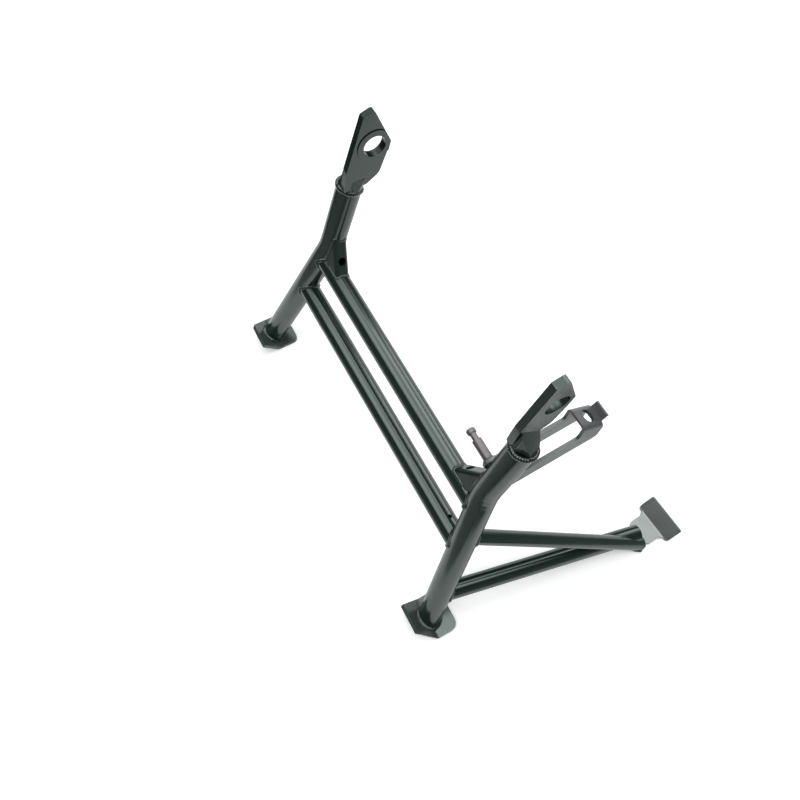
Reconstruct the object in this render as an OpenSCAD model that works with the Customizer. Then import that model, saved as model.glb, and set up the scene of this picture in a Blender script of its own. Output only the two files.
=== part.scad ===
// Motorcycle centre stand: two bent tube legs, two cross tubes, pivot lugs, folded feet and a foot lever.
// +X points to the rear of the motorcycle, -Y to the side that carries the foot lever, +Z up.

/* [Legs] */
// Outside diameter of the leg tube
leg_d = 25; // [22:0.5:28]
// Wall of the leg tube
leg_wall = 2.5; // [2:0.25:3]
// Half the distance between the leg axes at the floor
foot_half = 200.5; // [190:0.5:210]
// Half the distance between the leg axes at the bend
bend_half = 150; // [148:0.5:154]
// Half the distance between the leg axes at the top
top_half = 149; // [148:0.5:151]
// Leg axis at the floor, along X
foot_x = -26.5; // [-30:0.5:-22]
// Leg axis at the bend, along X
bend_x = 51.5; // [48:0.5:55]
// Leg axis at the top of the tube, along X
top_x = 76; // [72:0.5:80]
// Height of the bend
bend_z = 194; // [188:1:200]
// Height of the tube's top end
top_z = 266; // [262:1:270]
// Radius of the bend on the tube axis
bend_r = 90; // [60:5:120]

/* [Cross tubes] */
// Outside diameter of both cross tubes
cross_d = 22; // [20:0.5:24]
// Wall of the cross tubes
cross_wall = 2; // [1.5:0.25:2.5]
// Height of the upper cross tube
upper_z = 174.3; // [170:0.1:180]
// Height of the lower cross tube
lower_z = 121.3; // [116:0.1:126]
// Distance of the vent hole from the middle
vent_y = 141; // [130:1:145]
// Diameter of the vent hole
vent_d = 4; // [3:0.5:5]

/* [Pivot lugs] */
// Height of the pivot bore
pivot_z = 316.2; // [312:0.2:320]
// Pivot bore along X
pivot_x = 99; // [97:0.5:101]
// Diameter of the pivot bore
bore_d = 22; // [20:0.5:24]
// Half the clear distance between the lugs
lug_in = 138.3; // [137:0.1:139]
// Thickness of a lug
lug_t = 7; // [6:0.5:8]
// Diameter of the boss round the bore
boss_d = 33.4; // [32:0.2:36]
// Height of the boss on the inner face
boss_h = 1; // [0.6:0.1:1.4]
// Diameter of the round neck below a lug
neck_d = 24.4; // [23:0.2:25]

/* [Gussets] */
// Width of a gusset across its two folds
gusset_w = 15.5; // [14:0.5:17]
// Sheet thickness of the gussets
gusset_t = 3; // [2.5:0.5:4]
// Diameter of the gusset hole
gusset_hole_d = 8.5; // [7:0.5:10]
// Lean of the gussets with the legs, in degrees
gusset_lean = 20; // [17:1:22]

/* [Feet] */
// Thickness of the foot plates
foot_t = 4.5; // [4:0.5:6]
// Inner edge of a foot, from the middle
foot_in = 176.6; // [174:0.2:180]
// Outer edge of a foot, from the middle
foot_out = 222.5; // [218:0.5:226]
// Outer end of the turned-up front edge, from the middle
tip_out = 207; // [203:1:211]
// Start of the fold, along X
fold_x = -24; // [-27:0.5:-22]
// Rear edge of a foot, along X
heel_x = -0.5; // [-3:0.5:2]
// Angle of the turned-up front, in degrees
wing_angle = 48; // [44:1:52]
// Length of the turned-up front
wing_len = 24; // [20:1:27]

/* [Foot lever] */
// Diameter of the upper lever tube
upper_lever_d = 15.6; // [14:0.2:17]
// Diameter of the lower lever tube
lower_lever_d = 19.6; // [18:0.2:21]
// Wall of both lever tubes
lever_wall = 2; // [1.5:0.5:2.5]
// Thickness of the tread plate
tread_t = 4; // [3:0.5:5]
// Width of the tread pad
pad_w = 47.6; // [44:0.4:52]
// Length of the tread pad
pad_len = 19.5; // [17:0.5:23]
// Upward angle of the tread pad, in degrees
pad_angle = 38; // [34:1:42]

/* [Buffer bracket] */
// Sheet thickness of the bracket
bracket_t = 3; // [2.5:0.5:3.5]
// Width over the two arms
bracket_w = 22.9; // [22:0.1:24]
// Diameter of the buffer hole
buffer_hole_d = 12.5; // [11:0.5:14]
// Diameter of the spring pin
pin_d = 8.8; // [8:0.2:10]
// Diameter of the groove behind the pin head
pin_neck_d = 6; // [5:0.5:7]

/* [Weld beads] */
// Leg size of the larger beads
bead = 2.6; // [2:0.2:3.4]
// Leg size of the beads on the lever and the bracket
small_bead = 2; // [1.5:0.25:2.5]
// Leg size of the gusset beads
gusset_bead = 1.5; // [1:0.25:2]

/* [Hidden] */
$fn = 64;
origin_x = 110.25;
origin_y = -16.71;
leg_r = leg_d / 2;
cross_r = cross_d / 2;
foot_p = [foot_x, foot_half, 0];
bend_p = [bend_x, bend_half, bend_z];
top_p = [top_x, top_half, top_z];
low_dir = unit(bend_p - foot_p);
up_dir = unit(top_p - bend_p);
upper_x = foot_x + (bend_x - foot_x) * upper_z / bend_z;
lower_x = foot_x + (bend_x - foot_x) * lower_z / bend_z;
tread_p = [246.2, -232.4, 0];
tread_yaw = 3;
upper_start = [28.2, -165.2, 136];
upper_end = [221, -243.2, 5.1];
lower_start = [-7.3, -188.2, 47.7];
lower_end = [222, -232.9, 12.6];
pin_x = 60.4;
pin_z = 225.8;
pin_root_d = pin_d - 0.4;
arm_in = 134.6;
arm_out = arm_in + bracket_w;
slope = 33.7;

function unit(v) = v / norm(v);

// Points of one rounded corner at p between its neighbours a and b
function corner(p, a, b, r) =
  let (u = unit(a - p), v = unit(b - p), half = acos(u * v) / 2)
  let (c = p + unit(u + v) * r / sin(half), s = p + u * r / tan(half) - c, e = p + v * r / tan(half) - c)
  let (way = s[0] * e[1] - s[1] * e[0] > 0 ? 1 : -1, first = atan2(s[1], s[0]))
  [for (k = [0:4]) c + r * [cos(first + way * (180 - 2 * half) * k / 4), sin(first + way * (180 - 2 * half) * k / 4)]];

// Closed outline with a radius at each corner, 0 keeps a corner sharp
function rounded(pts, radii) =
  [for (i = [0:len(pts) - 1])
    each (radii[i] > 0
      ? corner(pts[i], pts[(i + len(pts) - 1) % len(pts)], pts[(i + 1) % len(pts)], radii[i])
      : [pts[i]])];

// Local +Z runs from a towards b
module aim(a, b) {
  d = b - a;
  translate(a)
    rotate([0, acos(d[2] / norm(d)), atan2(d[1], d[0])])
      children();
}

module rod(a, b, r) {
  aim(a, b)
    rotate(170)
      cylinder(r = r, h = norm(b - a));
}

// Frame at the start of the bend: origin o, -X towards the inside, +Y along the first leg
module bend_frame(o, n, u) {
  w = cross(-n, u);
  multmatrix([[-n[0], u[0], w[0], o[0]], [-n[1], u[1], w[1], o[1]], [-n[2], u[2], w[2], o[2]], [0, 0, 0, 1]])
    children();
}

// Round bar from a to c with one bend at b
module bent_rod(a, b, c, bend, r) {
  u = unit(b - a);
  v = unit(c - b);
  turn = acos(u * v);
  n = unit(v - (u * v) * u);
  setback = bend * tan(turn / 2);
  bend_frame(b - setback * u + bend * n, n, u) {
    translate([bend, 0, 0])
      rotate([90, 0, 0])
        cylinder(r = r, h = norm(b - a) - setback);
    rotate_extrude(angle = turn)
      translate([bend, 0])
        circle(r = r);
    rotate(turn)
      translate([bend, 0, 0])
        rotate([-90, 0, 0])
          cylinder(r = r, h = norm(c - b) - setback);
  }
}

// Upright slab between y0 and y1 from an outline drawn in X and Z
module slab(y0, y1) {
  translate([0, y1, 0])
    rotate([90, 0, 0])
      linear_extrude(y1 - y0)
        children();
}

// Everything past the plane through p, on the side that n points to
module beyond(p, n) {
  aim(p, p + n)
    translate([-150, -150, 0])
      cube([300, 300, 300]);
}

// Side outline of a sheet that turns up towards -X, drawn in X and Z with the bend starting at x = 0
function fold_outline(flat, wing, t, inner, angle) =
  let (s = [for (k = [0:8]) [-sin(angle * k / 8), -cos(angle * k / 8)]], c = [0, t + inner], d = [-cos(angle), sin(angle)])
  concat(
    [[flat, t], [flat, 0]],
    [for (k = [0:8]) c + (t + inner) * s[k]],
    [c + (t + inner) * s[8] + wing * d, c + inner * s[8] + wing * d],
    [for (k = [8:-1:0]) c + inner * s[k]]
  );

// Three-sided channel section, closed side on y = 0, with rounded folds
module channel(w, depth, t, r) {
  difference() {
    channel_block(w, depth, r);
    translate([0, t])
      channel_block(w - 2 * t, depth, r - t);
  }
}

module channel_block(w, depth, r) {
  translate([-w / 2, r])
    square([w, depth - r]);
  translate([r - w / 2, 0])
    square([w - 2 * r, depth]);
  for (x = [r - w / 2, w / 2 - r])
    translate([x, r])
      circle(r = r);
}

module left() {
  mirror([0, 1, 0])
    children();
}

// Right leg as a solid bar, grown by g all round
module leg_bar(g = 0) {
  bent_rod(foot_p - 20 * low_dir, bend_p, top_p, bend_r, leg_r + g);
}

module both_leg_bars() {
  leg_bar();
  left()
    leg_bar();
}

// Space below the upper face of a foot, raised by g
module foot_space(g = 0) {
  inner = 4;
  wing_n = [sin(wing_angle), 0, cos(wing_angle)];
  half_n = [sin(wing_angle / 2), 0, cos(wing_angle / 2)];
  centre = [fold_x, foot_half, foot_t + inner];
  beyond(centre - (inner - g) * [0, 0, 1], [0, 0, -1]);
  beyond(centre - (inner - g) * wing_n, -wing_n);
  beyond(centre - (inner - g) * cos(wing_angle / 2) * half_n, -half_n);
}

module right_leg() {
  color("#4c5b58")
    difference() {
      leg_bar();
      bent_rod(foot_p - 25 * low_dir, bend_p, top_p + 5 * up_dir, bend_r, leg_r - leg_wall);
      foot_space();
    }
}

// Cross tube as a solid bar, grown by g
module cross_bar(x, z, g = 0) {
  rod([x, -170, z], [x, 170, z], cross_r + g);
}

module cross_tube(x, z) {
  difference() {
    cross_bar(x, z);
    rod([x, -175, z], [x, 175, z], cross_r - cross_wall);
    beyond([0, 0, z] + leg_at(z), [0, 1, 0]);
    left()
      beyond([0, 0, z] + leg_at(z), [0, 1, 0]);
    both_leg_bars();
  }
}

function leg_at(z) = [0, foot_half + (bend_half - foot_half) * z / bend_z, 0];

module upper_cross_tube() {
  color("#4f5f5c")
    cross_tube(upper_x, upper_z);
}

module lower_cross_tube() {
  color("#4f5f5c")
    difference() {
      cross_tube(lower_x, lower_z);
      aim([lower_x, -vent_y, lower_z], [lower_x + 4, -vent_y, lower_z + 10])
        cylinder(d = vent_d, h = 20);
    }
}

// Bead where a cross tube meets the right leg
module cross_weld(x, z) {
  color("#3f4b49")
    difference() {
      intersection() {
        rod([x, 100, z], [x, leg_at(z)[1] - 2, z], cross_r + bead);
        leg_bar(bead);
      }
      cross_bar(x, z);
      leg_bar();
    }
}

module lug_outline() {
  polygon(rounded(
    [[66.5, 274], [70.5, 297], [89.8, 350], [101, 353.2], [115.2, 315.5], [112.5, 306], [102.5, 282], [89, 274]],
    [0, 20, 2.5, 3, 4, 0, 12, 0]));
}

module pivot_axis() {
  translate([pivot_x, 100, pivot_z])
    rotate([-90, 0, 0])
      children();
}

// Round neck with its plug in the tube, flattened towards the plate
module lug_neck() {
  shoulder = [69.8, lug_in + lug_t, 297];
  difference() {
    aim(top_p, top_p + up_dir)
      rotate_extrude()
        polygon([
          [0, -14],
          [leg_r - leg_wall, -14],
          [leg_r - leg_wall, 2.4],
          [neck_d / 2 - 1.6, 2.4],
          [neck_d / 2, 4],
          [neck_d / 2, 42],
          [0, 42]
        ]);
    beyond(shoulder, [455, 750, 521]);
    beyond(shoulder, [-336, 336, 114]);
    beyond([0, lug_in, 283], [0, -15, 1.7]);
  }
}

module right_lug() {
  color("#6a7573")
    difference() {
      union() {
        slab(lug_in, lug_in + lug_t)
          lug_outline();
        intersection() {
          slab(lug_in - boss_h, lug_in + 2)
            lug_outline();
          pivot_axis()
            cylinder(d = boss_d, h = 60);
        }
        lug_neck();
      }
      pivot_axis()
        cylinder(d = bore_d, h = 80);
    }
}

// Full bead round the joint between tube and lug
module lug_weld() {
  color("#39443f")
    aim(top_p, top_p + up_dir)
      rotate_extrude()
        polygon([
          [leg_r - leg_wall, 0],
          [leg_r, 0],
          [leg_r + 0.8, 0.8],
          [leg_r + 0.9, 2.2],
          [leg_r + 0.4, 3.3],
          [neck_d / 2, 4],
          [neck_d / 2 - 1.6, 2.4],
          [leg_r - leg_wall, 2.4]
        ]);
}

// Gusset section run along the diagonal from the cross tube to the leg
module gusset_frame() {
  translate([upper_x, 0, upper_z])
    rotate([0, gusset_lean, 0])
      children();
}

module gusset_run(len = 56) {
  translate([0, 115, 9])
    rotate([-36.6, 0, 0])
      translate([0, 0, -9])
        linear_extrude(len)
          children();
}

module gusset_block(g = 0) {
  gusset_frame()
    intersection() {
      gusset_run()
        translate([0, -g])
          channel_block(gusset_w + 2 * g, 19 + g, 4);
      slab_box();
    }
}

module slab_box() {
  translate([-40, 90, 0])
    cube([80, 58, 60]);
}

module right_gusset() {
  color("#66716f")
    difference() {
      gusset_frame()
        intersection() {
          difference() {
            gusset_run()
              channel(gusset_w, 19, gusset_t, 4);
            translate([0, 115, 9])
              rotate([-36.6, 0, 0])
                translate([0, -5, 16.5])
                  rotate([-90, 0, 0])
                    cylinder(d = gusset_hole_d, h = 12);
          }
          slab_box();
        }
      leg_bar();
      cross_bar(upper_x, upper_z);
    }
}

module right_gusset_weld() {
  color("#3f4b49")
    difference() {
      intersection() {
        gusset_block(gusset_bead);
        union() {
          leg_bar(gusset_bead);
          cross_bar(upper_x, upper_z, gusset_bead);
        }
      }
      gusset_block();
      leg_bar();
      cross_bar(upper_x, upper_z);
      right_upper_cross_weld();
    }
}

module right_upper_cross_weld() {
  difference() {
    cross_weld(upper_x, upper_z);
    gusset_block();
  }
}

module right_lower_cross_weld() {
  cross_weld(lower_x, lower_z);
}

module right_foot() {
  flat = heel_x - fold_x;
  color("#4a5855")
    translate([fold_x, 0, 0])
      intersection() {
        slab(foot_in - 5, foot_out + 5)
          polygon(fold_outline(flat + 5, wing_len, foot_t, 4, wing_angle));
        translate([0, 0, -5])
          linear_extrude(50)
            polygon(rounded(
              [[flat, foot_in], [flat, foot_out], [-2, foot_out], [-24, tip_out], [-24, foot_in]],
              [7, 9, 0, 4, 3]));
      }
}

module right_foot_weld() {
  color("#3f4b49")
    difference() {
      intersection() {
        leg_bar(bead);
        foot_space(bead);
      }
      leg_bar();
      foot_space();
    }
}

module upper_lever_bar(g = 0) {
  rod(upper_start, upper_end, upper_lever_d / 2 + g);
}

module lower_lever_bar(g = 0) {
  rod(lower_start, lower_end, lower_lever_d / 2 + g);
}

// Space below the upper face of the tread plate
module tread_space() {
  translate([200, -270, -20])
    cube([60, 70, 20 + tread_t]);
}

module lever_upper_tube() {
  back = unit(upper_start - upper_end);
  color("#53615e")
    difference() {
      upper_lever_bar();
      rod(upper_start, upper_end + 16 * back, upper_lever_d / 2 - lever_wall);
      left()
        leg_bar();
      tread_space();
    }
}

module lever_lower_tube() {
  back = unit(lower_start - lower_end);
  color("#4c5a57")
    difference() {
      lower_lever_bar();
      rod(lower_start, lower_end + 18 * back, lower_lever_d / 2 - lever_wall);
      left()
        leg_bar();
      upper_lever_bar();
      tread_space();
    }
}

module lever_upper_weld() {
  color("#3f4b49")
    difference() {
      intersection() {
        upper_lever_bar(small_bead);
        left()
          leg_bar(small_bead);
      }
      upper_lever_bar();
      left()
        leg_bar();
      left()
        right_lower_cross_weld();
    }
}

module lever_lower_weld() {
  color("#3f4b49")
    difference() {
      intersection() {
        lower_lever_bar(small_bead);
        left()
          leg_bar(small_bead);
      }
      lower_lever_bar();
      left()
        leg_bar();
    }
}

module tread_place() {
  translate(tread_p)
    rotate([0, 0, 180 + tread_yaw])
      children();
}

module neck_outline() {
  polygon(rounded(
    [[-1, -17.4], [-1, 17.4], [4, 15.2], [16, 15.2], [26.5, 7.5], [26.5, -7.5], [16, -15.2], [4, -15.2]],
    [0, 0, 3, 4, 4, 4, 4, 3]));
}

module tread_plate() {
  half = pad_w / 2;
  color("#767f7d")
    tread_place()
      intersection() {
        slab(-half - 2, half + 2)
          polygon(fold_outline(30, pad_len, tread_t, 3, pad_angle));
        translate([0, 0, -5])
          linear_extrude(40)
            polygon(rounded(
              [
                [26.5, -7.5], [16, -15.2], [3, -15.2], [-1.5, -18.2], [-2.5, -half], [-20, -half],
                [-20, half], [-2.5, half], [-1.5, 18.2], [3, 15.2], [16, 15.2], [26.5, 7.5]
              ],
              [4, 4, 4, 1, 3, 4, 4, 3, 1, 4, 4, 4]));
      }
}

module tread_weld() {
  color("#5d6664")
    difference() {
      intersection() {
        union() {
          upper_lever_bar(bead);
          rod(upper_end, upper_end + 3 * unit(upper_end - upper_start), upper_lever_d / 2 + 1);
          lower_lever_bar(bead);
          rod(lower_end, lower_end + 3 * unit(lower_end - lower_start), lower_lever_d / 2 - 1);
        }
        tread_place()
          translate([0, 0, tread_t])
            linear_extrude(9)
              neck_outline();
      }
      upper_lever_bar();
      lower_lever_bar();
    }
}

// Side outlines of the bracket's arms
module inner_arm() {
  polygon(rounded(
    [
      [156, 216], [83, 206], [70, 211], [pin_x - 6.5, pin_z - 6.5], [pin_x - 6.5, pin_z + 6.5],
      [pin_x + 8, pin_z + 6.5], [88.7, 231], [131.5, 237.5], [133, 256], [157, 240]
    ],
    [5, 8, 8, 6.4, 6.4, 8, 6, 3, 0, 0]));
}

module outer_arm() {
  polygon(rounded(
    [[156, 216], [83, 206], [62, 203], [62, 227], [88.7, 231], [131.5, 237.5], [133, 256], [157, 240]],
    [5, 8, 0, 0, 6, 3, 0, 0]));
}

module bracket_fold() {
  translate([133, (arm_in + arm_out) / 2, 256])
    rotate([0, slope, 0])
      rotate([-90, 0, 90])
        translate([0, 0, -120])
          linear_extrude(240)
            children();
}

module buffer_bracket() {
  color("#8a8d8f")
    left()
      difference() {
        union() {
          intersection() {
            union() {
              slab(arm_in - 1, 146)
                inner_arm();
              slab(146, arm_out + 1)
                outer_arm();
            }
            bracket_fold()
              channel(bracket_w, 150, bracket_t, 5);
          }
          slab(138.5, 153.5)
            polygon(rounded(
              [[152, 239.7], [155.3, 241.1], [160.6, 247.4], [162.8, 245.4], [157, 238.2], [151.5, 236.5]],
              [0, 1.5, 0.6, 0.6, 3, 0]));
        }
        leg_bar();
        translate([146, 145.8, 247.3])
          rotate([0, slope, 0])
            translate([0, 0, -8])
              cylinder(d = buffer_hole_d, h = 16);
        translate([pin_x, 120, pin_z])
          rotate([-90, 0, 0])
            cylinder(d = pin_root_d, h = 30);
      }
}

module bracket_weld() {
  color("#5f6466")
    left()
      difference() {
        intersection() {
          leg_bar(small_bead);
          slab(arm_out - bracket_t - small_bead, arm_out + small_bead)
            polygon([[63, 206.5], [90, 206.5], [90, 233.2], [63, 229]]);
        }
        slab(arm_out - bracket_t, arm_out)
          outer_arm();
        leg_bar();
      }
}

module spring_pin() {
  color("#a6a8aa")
    left()
      difference() {
        translate([pin_x, 0, pin_z])
          rotate([-90, 0, 0]) {
            translate([0, 0, arm_in - 3])
              cylinder(d = pin_root_d, h = 8);
            translate([0, 0, 114])
              cylinder(d = pin_d, h = arm_in - 2 - 114);
            translate([0, 0, 107])
              cylinder(d = pin_neck_d, h = 8);
            translate([0, 0, 103.6])
              cylinder(d = pin_d - 0.4, h = 3.6);
            translate([0, 0, 102.8])
              cylinder(d1 = pin_d - 2, d2 = pin_d - 0.4, h = 0.8);
          }
        leg_bar();
      }
}

module pin_weld() {
  color("#7b7f80")
    left()
      translate([pin_x, arm_in, pin_z])
        rotate([90, 0, 0])
          rotate_extrude()
            polygon([[pin_root_d / 2, 0], [pin_d / 2 + 1.6, 0], [pin_d / 2, 2], [pin_root_d / 2, 2]]);
}

module left_leg() {
  left()
    right_leg();
}

module left_lug() {
  left()
    right_lug();
}

module left_foot() {
  left()
    right_foot();
}

module left_gusset() {
  left()
    right_gusset();
}

// Frame origin under the middle of the whole stand
module place() {
  translate([-origin_x, -origin_y, 0])
    children();
}

place() left_leg();
place() right_leg();
place() upper_cross_tube();
place() lower_cross_tube();
place() left_lug();
place() right_lug();
place() left_gusset();
place() right_gusset();
place() left_foot();
place() right_foot();
place() lever_upper_tube();
place() lever_lower_tube();
place() tread_plate();
place() buffer_bracket();
place() spring_pin();
place() left() lug_weld();  // left_lug_weld
place() lug_weld();  // right_lug_weld
place() left() right_upper_cross_weld();  // left_upper_cross_weld
place() right_upper_cross_weld();
place() left() right_lower_cross_weld();  // left_lower_cross_weld
place() right_lower_cross_weld();
place() left() right_gusset_weld();  // left_gusset_weld
place() right_gusset_weld();
place() left() right_foot_weld();  // left_foot_weld
place() right_foot_weld();
place() lever_upper_weld();
place() lever_lower_weld();
place() tread_weld();
place() bracket_weld();
place() pin_weld();
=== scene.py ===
import math
import random
import bpy
from mathutils import Matrix, Vector


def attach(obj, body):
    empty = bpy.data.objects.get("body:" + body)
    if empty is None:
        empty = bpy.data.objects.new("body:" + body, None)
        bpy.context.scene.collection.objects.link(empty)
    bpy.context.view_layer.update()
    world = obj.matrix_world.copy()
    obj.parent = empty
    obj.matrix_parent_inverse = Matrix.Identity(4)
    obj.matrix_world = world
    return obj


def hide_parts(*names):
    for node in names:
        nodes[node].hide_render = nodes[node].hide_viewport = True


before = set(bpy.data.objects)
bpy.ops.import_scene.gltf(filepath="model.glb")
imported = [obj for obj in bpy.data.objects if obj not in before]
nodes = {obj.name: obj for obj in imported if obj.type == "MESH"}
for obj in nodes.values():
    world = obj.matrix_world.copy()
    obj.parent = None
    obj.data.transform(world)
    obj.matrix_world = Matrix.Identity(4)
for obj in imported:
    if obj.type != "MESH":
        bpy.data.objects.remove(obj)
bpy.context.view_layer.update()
scene = bpy.context.scene
scene.view_settings.view_transform = "Standard"

# Camera, fitted to the photograph: places in metres, lens and sensor in millimetres
CAMERA_PLACE = Vector((-0.21215, -0.25501, 0.77207))
CAMERA_VIEW = Vector((0.204884, 0.367717, -0.907087))
CAMERA_UP = Vector((0.434568, 0.796222, 0.420930))
CAMERA_LENS = 31.21
SENSOR_WIDTH = 36.0
CLIP_NEAR = 0.01
CLIP_FAR = 50.0


def make_camera():
    data = bpy.data.cameras.new("camera")
    data.sensor_fit = "HORIZONTAL"
    data.sensor_width = SENSOR_WIDTH
    data.lens = CAMERA_LENS
    data.clip_start = CLIP_NEAR
    data.clip_end = CLIP_FAR
    view = CAMERA_VIEW.normalized()
    right = view.cross(CAMERA_UP.normalized()).normalized()
    up = right.cross(view).normalized()
    turn = Matrix((right, up, -view)).transposed().to_4x4()
    camera = bpy.data.objects.new("camera", data)
    camera.matrix_world = Matrix.Translation(CAMERA_PLACE) @ turn
    scene.collection.objects.link(camera)
    scene.camera = camera


make_camera()


# Helpers for the node materials
def map_range(nt, source, to_min, to_max, from_min=0.0, from_max=1.0):
    node = nt.nodes.new("ShaderNodeMapRange")
    node.inputs["From Min"].default_value = from_min
    node.inputs["From Max"].default_value = from_max
    node.inputs["To Min"].default_value = to_min
    node.inputs["To Max"].default_value = to_max
    nt.links.new(source, node.inputs["Value"])
    return node.outputs["Result"]


def color_ramp(nt, source, stops):
    node = nt.nodes.new("ShaderNodeValToRGB")
    elements = node.color_ramp.elements
    elements[0].position, elements[0].color = stops[0]
    elements[1].position, elements[1].color = stops[-1]
    for position, color in stops[1:-1]:
        elements.new(position).color = color
    nt.links.new(source, node.inputs["Fac"])
    return node.outputs["Color"]


def grey(level):
    return (level, level, level, 1)


# Floor: a white sheet, in metres, that ends on the left and in front and keeps the object's shadow
FLOOR_LEFT = -0.28
FLOOR_RIGHT = 4.0
FLOOR_FRONT = -0.42
FLOOR_BACK = 3.0
# Its paint and its glow, for the light and as the camera sees them
FLOOR_PAINT = 0.72
FLOOR_PAINT_SEEN = 0.98
FLOOR_GLOW = 0.2
FLOOR_GLOW_SEEN = 0.3
FLOOR_TINT = (0.975, 1.0, 0.99, 1)


def floor_material():
    mat = bpy.data.materials.new("floor")
    mat.use_nodes = True
    nt = mat.node_tree
    nt.nodes.clear()
    seen = nt.nodes.new("ShaderNodeLightPath").outputs["Is Camera Ray"]
    paint = nt.nodes.new("ShaderNodeBsdfDiffuse")
    nt.links.new(map_range(nt, seen, FLOOR_PAINT, FLOOR_PAINT_SEEN), paint.inputs["Color"])
    glow = nt.nodes.new("ShaderNodeEmission")
    glow.inputs["Color"].default_value = FLOOR_TINT
    nt.links.new(map_range(nt, seen, FLOOR_GLOW, FLOOR_GLOW_SEEN), glow.inputs["Strength"])
    both = nt.nodes.new("ShaderNodeAddShader")
    nt.links.new(paint.outputs[0], both.inputs[0])
    nt.links.new(glow.outputs[0], both.inputs[1])
    out = nt.nodes.new("ShaderNodeOutputMaterial")
    nt.links.new(both.outputs[0], out.inputs["Surface"])
    return mat


def make_floor():
    corners = [
        (FLOOR_LEFT, FLOOR_FRONT, 0),
        (FLOOR_RIGHT, FLOOR_FRONT, 0),
        (FLOOR_RIGHT, FLOOR_BACK, 0),
        (FLOOR_LEFT, FLOOR_BACK, 0),
    ]
    mesh = bpy.data.meshes.new("floor")
    mesh.from_pydata(corners, [], [(0, 1, 2, 3)])
    mesh.materials.append(floor_material())
    obj = bpy.data.objects.new("floor", mesh)
    scene.collection.objects.link(obj)


make_floor()

# World: white to the camera; for the light, a bright band above, dark low down and far away
SKY_SEEN = 1.05
SKY_STRENGTH = 2.6
SKY_AXIS = (-0.1, 0.3, 0.9)
# Brightness by place along that axis, where 0 is against it and 1 is along it
SKY_LEVELS = [
    (0.0, 0.02), (0.2, 0.03), (0.31, 0.12), (0.45, 0.07), (0.7, 0.03), (0.835, 0.02),
    (0.85, 0.9), (0.93, 1.0), (0.95, 0.9), (0.965, 0.2), (1.0, 0.08),
]
# Strength far away, and the part of a direction along Y where it starts and is reached
SKY_FAR_STRENGTH = 0.3
SKY_FAR_START = 0.48
SKY_FAR_END = 0.6


def make_world():
    world = bpy.data.worlds.new("world")
    scene.world = world
    world.use_nodes = True
    nt = world.node_tree
    nt.nodes.clear()
    toward = nt.nodes.new("ShaderNodeTexCoord").outputs["Generated"]
    along = nt.nodes.new("ShaderNodeVectorMath")
    along.operation = "DOT_PRODUCT"
    along.inputs[1].default_value = SKY_AXIS
    nt.links.new(toward, along.inputs[0])
    place = map_range(nt, along.outputs["Value"], 0.0, 1.0, -1.0, 1.0)
    level = color_ramp(nt, place, [(at, grey(value)) for at, value in SKY_LEVELS])
    axes = nt.nodes.new("ShaderNodeSeparateXYZ")
    nt.links.new(toward, axes.inputs[0])
    strength = map_range(nt, axes.outputs["Y"], SKY_STRENGTH, SKY_FAR_STRENGTH, SKY_FAR_START, SKY_FAR_END)
    studio = nt.nodes.new("ShaderNodeBackground")
    nt.links.new(level, studio.inputs["Color"])
    nt.links.new(strength, studio.inputs["Strength"])
    white = nt.nodes.new("ShaderNodeBackground")
    white.inputs["Color"].default_value = grey(1)
    white.inputs["Strength"].default_value = SKY_SEEN
    mix = nt.nodes.new("ShaderNodeMixShader")
    nt.links.new(nt.nodes.new("ShaderNodeLightPath").outputs["Is Camera Ray"], mix.inputs[0])
    nt.links.new(studio.outputs[0], mix.inputs[1])
    nt.links.new(white.outputs[0], mix.inputs[2])
    out = nt.nodes.new("ShaderNodeOutputWorld")
    nt.links.new(mix.outputs[0], out.inputs["Surface"])


make_world()

# Square lamps: name, place and edge in metres, and power in watts
LAMPS = [
    ("key", (-0.1, 0.45, 1.9), 1.6, 10.5),
    ("side", (1.5, 0.4, 0.9), 1.0, 8),
]
LAMP_TARGET = Vector((0, 0, 0.1))


def make_lamp(name, place, edge, power):
    light = bpy.data.lights.new(name, "AREA")
    light.shape = "RECTANGLE"
    light.size = edge
    light.size_y = edge
    light.energy = power
    obj = bpy.data.objects.new(name, light)
    scene.collection.objects.link(obj)
    obj.location = place
    obj.rotation_euler = (LAMP_TARGET - Vector(place)).to_track_quat("-Z", "Y").to_euler()


for lamp in LAMPS:
    make_lamp(*lamp)

# Paint and metal: slow clouds of tone and gloss and a fine grain, by the metre
CLOUD_SCALE = 38.0
CLOUD_DETAIL = 4.0
CLOUD_LOW = 0.3
CLOUD_HIGH = 0.7
TONE_CHANGE = 0.12
GLOSS_GAIN = 0.04
GLOSS_LOSS = 0.06
GRAIN_SCALE = 420.0
GRAIN_DETAIL = 2.0
GRAIN_HEIGHT = 0.00006
REFLECTION_TINT = (0.86, 1.0, 0.96, 1)
VARNISH_ROUGH = 0.08


def noise(nt, vector, scale, detail):
    node = nt.nodes.new("ShaderNodeTexNoise")
    node.inputs["Scale"].default_value = scale
    node.inputs["Detail"].default_value = detail
    nt.links.new(vector, node.inputs["Vector"])
    return node.outputs["Fac"]


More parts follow.
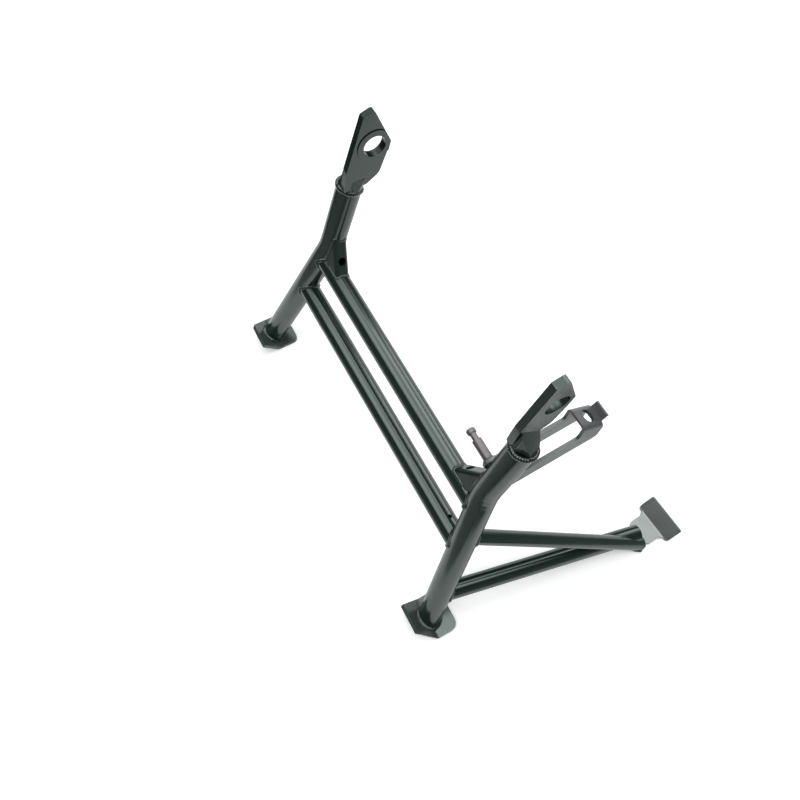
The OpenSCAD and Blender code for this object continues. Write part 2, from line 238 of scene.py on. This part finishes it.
def coat(name, color, rough, grain=0.12, metallic=0.0, varnish=0.0):
    mat = bpy.data.materials.new(name)
    mat.use_nodes = True
    nt = mat.node_tree
    surface = nt.nodes["Principled BSDF"]
    surface.inputs["Metallic"].default_value = metallic
    surface.inputs["Specular IOR Level"].default_value = 1.0
    surface.inputs["Specular Tint"].default_value = REFLECTION_TINT
    surface.inputs["Coat Weight"].default_value = varnish
    surface.inputs["Coat Roughness"].default_value = VARNISH_ROUGH
    place = nt.nodes.new("ShaderNodeTexCoord").outputs["Object"]
    cloud = noise(nt, place, CLOUD_SCALE, CLOUD_DETAIL)
    dark = (*[c * (1 - TONE_CHANGE) for c in color], 1)
    light = (*[c * (1 + TONE_CHANGE) for c in color], 1)
    tone = color_ramp(nt, cloud, [(CLOUD_LOW, dark), (CLOUD_HIGH, light)])
    nt.links.new(tone, surface.inputs["Base Color"])
    nt.links.new(map_range(nt, cloud, rough - GLOSS_GAIN, rough + GLOSS_LOSS), surface.inputs["Roughness"])
    bump = nt.nodes.new("ShaderNodeBump")
    bump.inputs["Strength"].default_value = grain
    bump.inputs["Distance"].default_value = GRAIN_HEIGHT
    nt.links.new(noise(nt, place, GRAIN_SCALE, GRAIN_DETAIL), bump.inputs["Height"])
    nt.links.new(bump.outputs["Normal"], surface.inputs["Normal"])
    return mat


# Green-black gloss paint, greyer on the feet and glassy on the welds
tube = coat("tube_coat", (0.007, 0.018, 0.014), 0.17, grain=0.08)
plate = coat("plate_coat", (0.010, 0.021, 0.017), 0.2)
foot = coat("foot_coat", (0.042, 0.054, 0.050), 0.26)
weld = coat("weld_coat", (0.003, 0.006, 0.005), 0.1, grain=0.05, varnish=0.6)

# Grey metal: the tread plate, the buffer bracket and the spring pin
tread = coat("tread_coat", (0.17, 0.184, 0.18), 0.2, metallic=0.75)
bracket = coat("bracket_coat", (0.085, 0.087, 0.09), 0.3, metallic=0.2)
steel = coat("pin_steel", (0.16, 0.14, 0.143), 0.38, metallic=0.6)

NAMED = {
    "tread_plate": tread,
    "buffer_bracket": bracket,
    "bracket_weld": bracket,
    "pin_weld": bracket,
    "spring_pin": steel,
}
ENDINGS = {"_weld": weld, "_foot": foot, "_lug": plate, "_gusset": plate}


def material_of(name):
    if name in NAMED:
        return NAMED[name]
    for ending, mat in ENDINGS.items():
        if name.endswith(ending):
            return mat
    return tube


for name, obj in nodes.items():
    for material_slot in obj.material_slots:
        material_slot.material = material_of(name)
    if not obj.material_slots:
        obj.data.materials.append(material_of(name))

# Small edge radii on the cut and folded plates, in metres
EDGE_RADIUS = 0.0006
EDGE_SEGMENTS = 2
EDGE_ANGLE = math.radians(35)
EDGED = (
    "left_lug", "right_lug", "left_foot", "right_foot", "left_gusset", "right_gusset",
    "tread_plate", "buffer_bracket",
)

for name in EDGED:
    edge = nodes[name].modifiers.new("edge", "BEVEL")
    edge.width = EDGE_RADIUS
    edge.segments = EDGE_SEGMENTS
    edge.limit_method = "ANGLE"
    edge.angle_limit = EDGE_ANGLE
    edge.use_clamp_overlap = True
    edge.harden_normals = True

# Weld beads lie on the same forms as the solids, drawn on the right side in part.scad's millimetres
MILLIMETRE = 0.001
ORIGIN = Vector((110.25, -16.71, 0.0))

# Legs, as one line on the floor, at the bend and at the top, and the cross tubes between them
FOOT = Vector((-26.5, 200.5, 0))
BEND = Vector((51.5, 150, 194))
TOP = Vector((76, 149, 266))
LEG_R = 12.5
LEG_BEND_R = 90.0
LEG_BEND_STEPS = 16
LEG_BELOW_FLOOR = 20.0
CROSS_R = 11.0
UPPER_Z = 174.3
LOWER_Z = 121.3
LOW_DIR = (BEND - FOOT).normalized()
UP_DIR = (TOP - BEND).normalized()
UPPER_X = FOOT.x + (BEND.x - FOOT.x) * UPPER_Z / BEND.z
LOWER_X = FOOT.x + (BEND.x - FOOT.x) * LOWER_Z / BEND.z

# Foot: its thickness, and the inner radius, the axis and the angle of its fold
FOOT_T = 4.5
FOLD_R = 4.0
FOLD = Vector((-24, 200.5, FOOT_T + FOLD_R))
WING_ANGLE = math.radians(48)

# Gusset: the point that it turns about, from the upper cross tube's middle, and its channel's outside
GUSSET_TURN = Vector((0, 115, 9))
GUSSET_LEAN = math.radians(20)
GUSSET_SLOPE = math.radians(36.6)
GUSSET_HALF = 7.75
GUSSET_DEPTH = 16.0
GUSSET_CORNER = 4.0

# Bracket: the line where its outer arm stands on the leg, and the ring round the pin on its inner arm
ARM_Y = 157.5
ARM_BOTTOM = 204.0
ARM_HEIGHT = 24.0
PIN_RING = Vector((60.4, 134.3, 225.8))
PIN_RING_R = 5.0

# Foot lever: each tube's start on the leg, end on the tread plate and radius
UPPER_LEVER = (Vector((28.2, 165.2, 136)), Vector((221, 243.2, 5.1)), 7.8)
LOWER_LEVER = (Vector((-7.3, 188.2, 47.7)), Vector((222, 232.9, 12.6)), 9.8)
TREAD_TOP = 4.0


def mirrored(v):
    return Vector((v.x, -v.y, v.z))


# Centre line of a leg, with its bend
def leg_line():
    turn = math.acos(LOW_DIR.dot(UP_DIR))
    inward = (UP_DIR - LOW_DIR.dot(UP_DIR) * LOW_DIR).normalized()
    start = BEND - LEG_BEND_R * math.tan(turn / 2) * LOW_DIR
    centre = start + LEG_BEND_R * inward
    points = [FOOT - LEG_BELOW_FLOOR * LOW_DIR]
    for k in range(LEG_BEND_STEPS + 1):
        a = turn * k / LEG_BEND_STEPS
        points.append(centre - LEG_BEND_R * math.cos(a) * inward + LEG_BEND_R * math.sin(a) * LOW_DIR)
    points.append(TOP)
    return points


LEG_POINTS = leg_line()


# Distance of a point from the leg's surface
def leg_gap(p):
    gaps = []
    for a, b in zip(LEG_POINTS, LEG_POINTS[1:]):
        d = b - a
        t = max(0.0, min(1.0, (p - a).dot(d) / d.length_squared))
        gaps.append((p - a - t * d).length)
    return min(gaps) - LEG_R


# Distance of a point from the upper cross tube's surface
def cross_gap(p):
    return math.hypot(p.x - UPPER_X, p.z - UPPER_Z) - CROSS_R


# Distance of a point from the foot's upper side: the sole, the chord of the fold and the turned-up front
def foot_gap(p):
    gaps = []
    for a in (0.0, WING_ANGLE / 2, WING_ANGLE):
        n = Vector((math.sin(a), 0, math.cos(a)))
        reach = FOLD_R * (math.cos(WING_ANGLE / 2) if 0 < a < WING_ANGLE else 1.0)
        gaps.append((p - FOLD + reach * n).dot(n))
    return min(gaps)


# How finely a surface is felt for its direction and a joint is searched for
FEEL = 0.02
HALVINGS = 40
JOINT_POINTS = 240
# From this height on, a unit direction counts as upright
STEEP = 0.9


# Direction straight away from a surface at a point
def away(gap, p):
    steps = [Vector([FEEL * (i == k) for i in range(3)]) for k in range(3)]
    return Vector([gap(p + step) - gap(p - step) for step in steps]).normalized()


# Point of a line where it meets a surface, between a place inside and one outside
def meet(gap, line, inside, outside):
    for _ in range(HALVINGS):
        mid = (inside + outside) / 2
        if gap(line(mid)) < 0:
            inside = mid
        else:
            outside = mid
    return line((inside + outside) / 2)


# Two directions across a third and across each other
def side_axes(d):
    helper = Vector((0, 0, 1)) if abs(d.z) < STEEP else Vector((1, 0, 0))
    e1 = d.cross(helper).normalized()
    return e1, d.cross(e1).normalized()


def around(d, count):
    e1, e2 = side_axes(d)
    for k in range(count):
        angle = 2 * math.pi * k / count
        yield math.cos(angle) * e1 + math.sin(angle) * e2


# Curve where a round bar meets another surface, with the outward direction at each point
def round_joint(start, d, r, gap, inside, outside):
    out = []
    for n in around(d, JOINT_POINTS):
        p = meet(gap, lambda t: start + t * d + r * n, inside, outside)
        out.append((p, (n + away(gap, p)).normalized()))
    return out


# Random values from -1 to 1 that change smoothly and end where they start
def smooth_noise(rng, count, knots):
    values = [rng.uniform(-1, 1) for _ in range(knots)]
    out = []
    for i in range(count):
        x = i / count * knots
        k = int(x)
        t = x - k
        t = t * t * (3 - 2 * t)
        out.append(values[k % knots] * (1 - t) + values[(k + 1) % knots] * t)
    return out


# Bead: the distance between its rings, the sides of a ring and the lowest place, in millimetres
BEAD_STEP = 0.32
SHORTEST_STEP = 1e-9
FEWEST_RINGS = 8
BEAD_SIDES = 14
BEAD_LOWEST = 0.2

# The bead's size and its ripples' depth and backward curve, as shares of its radius
BEAD_SIZE = 0.98
RIPPLE_DEPTH = 0.3
RIPPLE_LAG = 0.9
RIPPLE_FORCE = (0.6, 1.4)
RIPPLE_SHARPNESS = 0.6
RIPPLE_MEAN = 0.6

# Its swelling and swaying, as shares of its radius and with the length of one change in millimetres
SWELL = 0.1
SWELL_LENGTH = 7
SWAY = 0.12
SWAY_LENGTH = 5
FEWEST_CHANGES = 4

# Its rounded ends: their length as a share of the radius, and the size at the very end
END_LENGTH = 0.9
END_SIZE = 0.04


# Evenly spaced points along a curve, with outward directions and lengths so far, and the whole length
def even_points(curve, closed):
    loop = curve + [curve[0]] if closed else curve
    lengths = [0.0]
    for a, b in zip(loop, loop[1:]):
        lengths.append(lengths[-1] + (b[0] - a[0]).length)
    total = lengths[-1]
    count = max(FEWEST_RINGS, int(total / BEAD_STEP))
    out = []
    j = 0
    for i in range(count if closed else count + 1):
        s = total * i / count
        while j < len(lengths) - 2 and lengths[j + 1] < s:
            j += 1
        t = (s - lengths[j]) / max(SHORTEST_STEP, lengths[j + 1] - lengths[j])
        place = loop[j][0].lerp(loop[j + 1][0], t)
        outward = loop[j][1].lerp(loop[j + 1][1], t).normalized()
        out.append((place, outward, s))
    return out, total


def end_size(from_end, radius):
    edge = min(1.0, from_end / (radius * END_LENGTH))
    return END_SIZE + (1 - END_SIZE) * math.sqrt(max(0.0, 1 - (1 - edge) ** 2))


# Faces between rings of points, turned over where the rings run the other way round
def ring_faces(rings, sides, closed, turned=False):
    faces = []
    for i in range(rings if closed else rings - 1):
        a = i * sides
        b = (i + 1) % rings * sides
        for k in range(sides):
            m = (k + 1) % sides
            faces.append((a + k, b + k, b + m, a + m) if turned else (a + k, a + m, b + m, b + k))
    return faces


# Rippled bead swept along a curve
def bead_part(curve, radius, seed, closed=True, pitch=1.9, sink=0.25, wide=1.15):
    rng = random.Random(seed)
    points, total = even_points(curve, closed)
    count = len(points)
    if closed:
        pitch = total / max(2, round(total / pitch))
    swell = smooth_noise(rng, count, max(FEWEST_CHANGES, int(total / SWELL_LENGTH)))
    sway = smooth_noise(rng, count, max(FEWEST_CHANGES, int(total / SWAY_LENGTH)))
    force = [rng.uniform(*RIPPLE_FORCE) for _ in range(int(total / pitch) + 3)]
    verts = []
    for i, (point, outward, along) in enumerate(points):
        before = points[(i - 1) % count][0] if closed or i else point
        after = points[(i + 1) % count][0] if closed or i < count - 1 else point
        tangent = (after - before).normalized()
        outward = (outward - outward.dot(tangent) * tangent).normalized()
        side = tangent.cross(outward)
        size = radius if closed else radius * end_size(min(along, total - along), radius)
        middle = point - sink * radius * outward + SWAY * radius * sway[i] * side
        for k in range(BEAD_SIDES):
            angle = 2 * math.pi * k / BEAD_SIDES
            lag = RIPPLE_LAG * radius * (1 - math.cos(angle)) / 2
            ripple = (along + lag) / pitch
            cell = int(math.floor(ripple))
            wave = math.sin(math.pi * (ripple - cell)) ** RIPPLE_SHARPNESS - RIPPLE_MEAN
            depth = RIPPLE_DEPTH * force[cell % (len(force) - 2)]
            r = size * (BEAD_SIZE + depth * wave + SWELL * swell[i])
            q = middle + r * (math.cos(angle) * outward + wide * math.sin(angle) * side)
            q.z = max(q.z, BEAD_LOWEST)
            verts.append(q)
    faces = ring_faces(count, BEAD_SIDES, closed)
    if not closed:
        faces.append(tuple(range(BEAD_SIDES - 1, -1, -1)))
        faces.append(tuple((count - 1) * BEAD_SIDES + k for k in range(BEAD_SIDES)))
    return verts, faces


# Cap: its rings and sides, its lobes as shares of its radius, and its swirl, roundness and lowest place
CAP_RINGS = 18
CAP_SIDES = 56
LOBES_OF_THREE = 0.05
LOBES_OF_FIVE = 0.03
SWIRL_TURNS = 2.6
SWIRL_HEIGHT = 0.5
SWIRL_REACH = 1.1
MOST_SHIFT = 6.28
CAP_ROUNDNESS = 0.8
CAP_LOWEST = 2.0


# Swirled cap of weld metal over the closed end of a tube
def cap_part(centre, axis, radius, high, seed):
    shift = random.Random(seed).uniform(0, MOST_SHIFT)
    e1, e2 = side_axes(axis)
    verts = []
    for i in range(CAP_RINGS + 1):
        u = i / CAP_RINGS
        dome = high * math.cos(u * math.pi / 2) ** CAP_ROUNDNESS
        swirl = SWIRL_HEIGHT * math.sin(math.pi * min(1.0, u * SWIRL_REACH))
        for k in range(CAP_SIDES):
            angle = 2 * math.pi * k / CAP_SIDES
            lobes = 1 + LOBES_OF_THREE * math.sin(3 * angle + shift) + LOBES_OF_FIVE * math.sin(5 * angle)
            r = radius * math.sin(u * math.pi / 2) * lobes
            h = dome + swirl * math.sin(SWIRL_TURNS * 2 * math.pi * u + angle + shift)
            q = centre + h * axis + r * (math.cos(angle) * e1 + math.sin(angle) * e2)
            q.z = max(q.z, CAP_LOWEST)
            verts.append(q)
    faces = ring_faces(CAP_RINGS + 1, CAP_SIDES, False, turned=True)
    faces.append(tuple(range(CAP_RINGS * CAP_SIDES, (CAP_RINGS + 1) * CAP_SIDES)))
    return verts, faces


# One visual piece from several parts, in place of a plain weld ring of the solids
def bead_piece(name, parts, replaced, mirror, mat=weld):
    verts = []
    faces = []
    for part_verts, part_faces in parts:
        base = len(verts)
        for q in part_verts:
            verts.append(((mirrored(q) if mirror else q) - ORIGIN) * MILLIMETRE)
        for part_face in part_faces:
            face = [base + k for k in part_face]
            faces.append(face[::-1] if mirror else face)
    mesh = bpy.data.meshes.new(name)
    mesh.from_pydata(verts, [], faces)
    mesh.validate()
    mesh.update()
    for poly in mesh.polygons:
        poly.use_smooth = True
    mesh.materials.append(mat)
    obj = bpy.data.objects.new(name, mesh)
    scene.collection.objects.link(obj)
    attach(obj, "root")
    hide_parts(replaced)


# Joints of round tubes, searched for along the tube from within or past the other part to outside it
CROSS_SEARCH = (168.0, 100.0)
FOOT_SEARCH = (-20.0, 60.0)
LEVER_SEARCH = (0.0, 60.0)


def cross_joint(x, z):
    return round_joint(Vector((x, 0, z)), Vector((0, 1, 0)), CROSS_R, leg_gap, *CROSS_SEARCH)


def foot_joint():
    return round_joint(FOOT, LOW_DIR, LEG_R, foot_gap, *FOOT_SEARCH)


def lever_joint(start, end, r):
    return round_joint(start, (end - start).normalized(), r, leg_gap, *LEVER_SEARCH)


# Ring where a lug's neck stands on the leg's top end
LUG_RING_UP = 1.9
LUG_RING_R = 12.3
LUG_POINTS = 200


def lug_joint():
    return [(TOP + LUG_RING_UP * UP_DIR + LUG_RING_R * n, n) for n in around(UP_DIR, LUG_POINTS)]


# Bracket's joints: a line up the leg and a ring round the pin
ARM_SEARCH = (60.0, 90.0)
ARM_STEPS = 30
PIN_POINTS = 60


def arm_joint():
    out = []
    for k in range(ARM_STEPS + 1):
        z = ARM_BOTTOM + k * ARM_HEIGHT / ARM_STEPS
        p = meet(leg_gap, lambda t: Vector((t, ARM_Y, z)), *ARM_SEARCH)
        out.append((p, (Vector((0, 1, 0)) + away(leg_gap, p)).normalized()))
    return out


def pin_joint():
    out = []
    for k in range(PIN_POINTS):
        a = 2 * math.pi * k / PIN_POINTS
        n = Vector((math.cos(a), 0, math.sin(a)))
        out.append((PIN_RING + PIN_RING_R * n, (n + Vector((0, -1, 0))).normalized()))
    return out


# Gusset's joints: the search back from inside the leg, and the search up from the cross tube's level
GUSSET_SEARCH = (60.0, 14.0)
GUSSET_RISE = 20.0
GUSSET_STEPS = 8


# Takes a point from the gusset's own space to the stand's
def gusset_space(x, y, z):
    slope = Matrix.Rotation(-GUSSET_SLOPE, 3, "X")
    lean = Matrix.Rotation(GUSSET_LEAN, 3, "Y")
    turned = slope @ Vector((x, y, z - GUSSET_TURN.z))
    return Vector((UPPER_X, 0, UPPER_Z)) + lean @ (GUSSET_TURN + turned)


# The three outer sides of a gusset, from one free edge round to the other, with their outward directions
def gusset_path():
    w = GUSSET_HALF
    r = GUSSET_CORNER
    steps = range(1, GUSSET_STEPS + 1)
    rise = (GUSSET_DEPTH - r) / GUSSET_STEPS
    width = 2 * (w - r) / GUSSET_STEPS
    turns = [math.radians(90 * k / GUSSET_STEPS) for k in steps]
    path = [(-w, GUSSET_DEPTH - k * rise, -1, 0) for k in range(GUSSET_STEPS + 1)]
    path += [(-w + r - r * math.cos(a), r - r * math.sin(a), -math.cos(a), -math.sin(a)) for a in turns]
    path += [(-w + r + k * width, 0, 0, -1) for k in steps]
    path += [(w - r + r * math.sin(a), r - r * math.cos(a), math.sin(a), -math.cos(a)) for a in turns]
    path += [(w, r + k * rise, 1, 0) for k in steps]
    return path


def gusset_joint(gap, to_leg):
    out = []
    for x, y, nx, ny in gusset_path():
        sunk = (math.sin(GUSSET_SLOPE) * y - GUSSET_TURN.z) / math.cos(GUSSET_SLOPE) + GUSSET_TURN.z
        inside, outside = GUSSET_SEARCH if to_leg else (sunk, sunk + GUSSET_RISE)
        p = meet(gap, lambda t: gusset_space(x, y, t), inside, outside)
        n = (gusset_space(x + nx, y + ny, 0) - gusset_space(x, y, 0)).normalized()
        out.append((p, (n + away(gap, p)).normalized()))
    return out


# Lever on the tread plate: how far a side bead may lie below and above the tube's middle, by its radius
SIDE_BELOW = 0.98
SIDE_ABOVE = 0.9
SIDE_POINTS = 40
# How far a side bead runs past the tube's end, and how deep the cap starts inside it, in millimetres
SIDE_OVERRUN = 1.5
CAP_SINK = 0.4

# Radius of each joint's bead, in millimetres
CROSS_BEAD = 2.2
FOOT_BEAD = 2.9
LUG_BEAD = 2.3
GUSSET_TOP_BEAD = 1.25
GUSSET_LOW_BEAD = 1.35
LEVER_BEAD = 1.9
ARM_BEAD = 1.7
PIN_BEAD = 1.2


# Beads along both sides of a lever tube where it sinks into the tread plate
def tread_sides(start, end, r, reach, seed):
    d = (end - start).normalized()
    e1 = d.cross(Vector((0, 0, 1))).normalized()
    e2 = e1.cross(d).normalized()
    first = (end - start).length - reach
    sides = []
    for sign in (-1, 1):
        curve = []
        for k in range(SIDE_POINTS):
            c = start + (first + (reach + SIDE_OVERRUN) * k / (SIDE_POINTS - 1)) * d
            down = min(r * SIDE_BELOW, max(-r * SIDE_ABOVE, (c.z - TREAD_TOP) / e2.z))
            across = math.sqrt(r * r - down * down)
            n = (sign * across * e1 - down * e2) / r
            curve.append((c + r * n, (n + Vector((0, 0, 1))).normalized()))
        sides.append(bead_part(curve, LEVER_BEAD, seed + sign, closed=False, sink=0.2))
    return sides


def tread_cap(start, end, radius, high, seed):
    d = (end - start).normalized()
    return cap_part(end - CAP_SINK * d, d, radius, high, seed)


# The beads that both sides have; each bead makes its random draws from its own seed
def side_beads(side, mirror, seed):
    upper = bead_part(cross_joint(UPPER_X, UPPER_Z), CROSS_BEAD, seed + 1)
    lower = bead_part(cross_joint(LOWER_X, LOWER_Z), CROSS_BEAD, seed + 2)
    sole = bead_part(foot_joint(), FOOT_BEAD, seed + 3, wide=1.35, sink=0.35, pitch=2.3)
    neck = bead_part(lug_joint(), LUG_BEAD, seed + 4, sink=0.35, pitch=2.1)
    to_leg = bead_part(gusset_joint(leg_gap, True), GUSSET_TOP_BEAD, seed + 5, closed=False, pitch=1.6)
    to_cross = bead_part(gusset_joint(cross_gap, False), GUSSET_LOW_BEAD, seed + 6, closed=False, pitch=1.6)
    joints = {
        "_upper_cross": [upper],
        "_lower_cross": [lower],
        "_foot": [sole],
        "_lug": [neck],
        "_gusset": [to_leg, to_cross],
    }
    for joint, parts in joints.items():
        bead_piece(side + joint + "_bead", parts, side + joint + "_weld", mirror)


# The lever, the tread plate and the bracket are on the left side only, so their beads are mirrored
def lever_beads():
    for name, lever, seed in (("upper", UPPER_LEVER, 31), ("lower", LOWER_LEVER, 32)):
        bead = bead_part(lever_joint(*lever), LEVER_BEAD, seed)
        bead_piece("lever_" + name + "_bead", [bead], "lever_" + name + "_weld", mirror=True)


def tread_beads():
    parts = tread_sides(*UPPER_LEVER, reach=9.0, seed=41)
    parts += tread_sides(*LOWER_LEVER, reach=2.5, seed=44)
    parts.append(tread_cap(*UPPER_LEVER[:2], radius=7.6, high=3.2, seed=47))
    parts.append(tread_cap(*LOWER_LEVER[:2], radius=8.6, high=2.4, seed=48))
    bead_piece("tread_bead", parts, "tread_weld", mirror=True)


def bracket_beads():
    arm = bead_part(arm_joint(), ARM_BEAD, seed=51, closed=False)
    bead_piece("bracket_bead", [arm], "bracket_weld", mirror=True, mat=bracket)
    ring = bead_part(pin_joint(), PIN_BEAD, seed=52, pitch=1.5)
    bead_piece("pin_bead", [ring], "pin_weld", mirror=True, mat=bracket)


side_beads("right", mirror=False, seed=20)
side_beads("left", mirror=True, seed=10)
lever_beads()
tread_beads()
bracket_beads()
